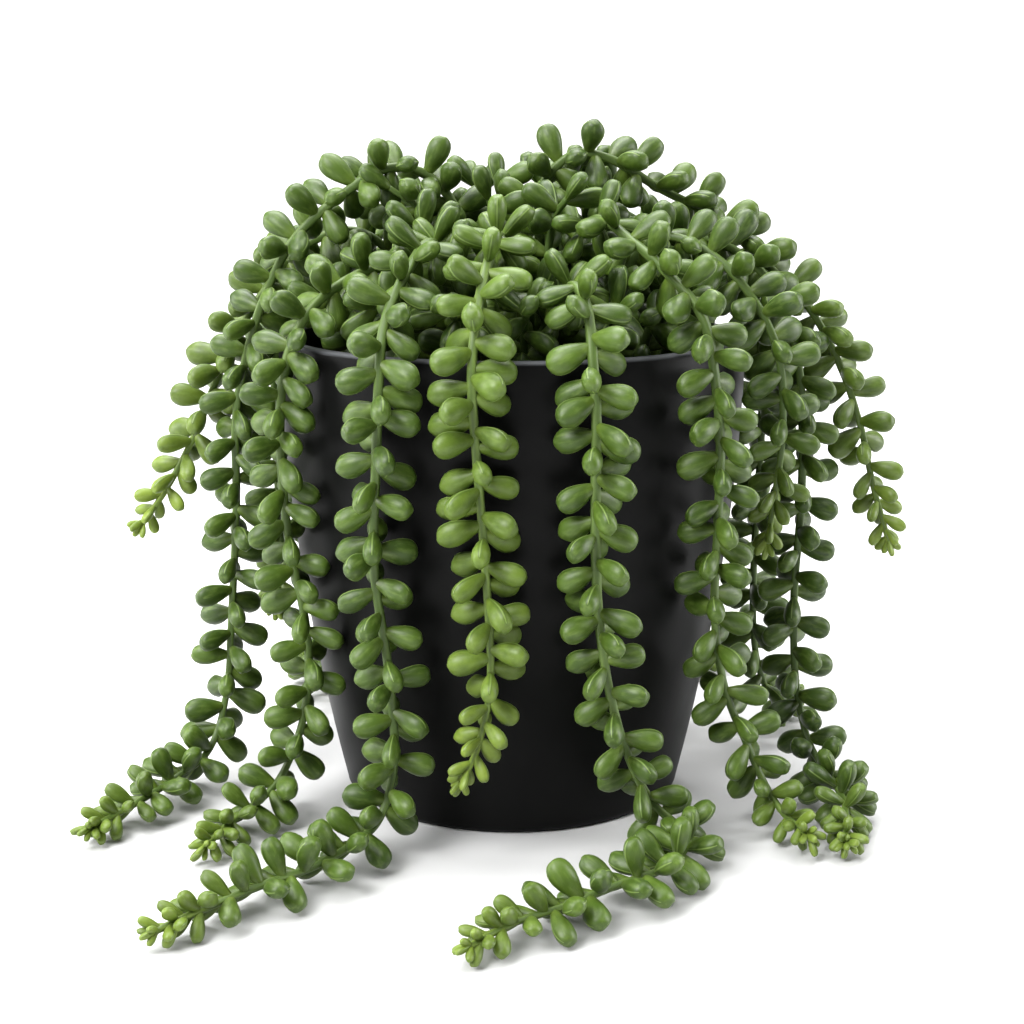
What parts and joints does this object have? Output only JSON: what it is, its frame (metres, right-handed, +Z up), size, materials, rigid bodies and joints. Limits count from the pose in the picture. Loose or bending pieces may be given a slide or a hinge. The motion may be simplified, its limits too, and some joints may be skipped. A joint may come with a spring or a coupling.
{
  "type": "potted string of pearls",
  "caption": "Trailing string of pearls succulent with teardrop leaves, spilling over the rim of a tapered satin black round pot.",
  "frame": {"origin": "centre of the underside of the pot", "axes": "+Z up along the pot's axis; -Y towards the side where two strands run out over the surface, +X to the right seen from there"},
  "size_m": [0.2078, 0.2304, 0.1699],
  "materials": {
    "pot": "satin black",
    "potting_mix": "rough and dark, barely seen between the stems",
    "leaf": "satin waxy green",
    "young_leaf": "satin yellow-green"
  },
  "bodies": {
    "root": {"pot": "pot", "potting_mix": "potting_mix", "strand_left_tip": "young_leaf", "strand_left": "leaf", "strand_front_left_outer": "leaf", "strand_front_left": "leaf", "strand_front": "young_leaf", "strand_front_right": "leaf", "strand_right_front": "leaf", "strand_right_short": "leaf", "strand_right": "leaf", "strand_right_tip": "young_leaf", "strand_back_right_outer": "leaf", "strand_back_right": "leaf", "strand_back_inner_right": "leaf", "strand_back": "leaf", "strand_back_inner_left": "leaf", "strand_back_left": "leaf", "strand_back_left_outer": "leaf", "sprig_1": "leaf", "sprig_2": "leaf", "sprig_3": "leaf", "sprig_4": "leaf", "sprig_5": "leaf", "sprig_6": "leaf", "sprig_7": "leaf", "sprig_8": "leaf", "sprig_9": "leaf", "sprig_10": "leaf", "sprig_11": "leaf", "sprig_12": "leaf", "sprig_13": "leaf", "sprig_14": "leaf", "sprig_15": "leaf", "sprig_16": "leaf", "sprig_17": "leaf", "sprig_18": "leaf", "sprig_19": "leaf", "sprig_20": "leaf", "sprig_21": "leaf", "sprig_22": "leaf", "sprig_23": "leaf", "sprig_24": "leaf", "sprig_25": "leaf", "sprig_26": "leaf", "sprig_27": "leaf", "sprig_28": "leaf", "sprig_29": "leaf"}
  },
  "joints": []
}
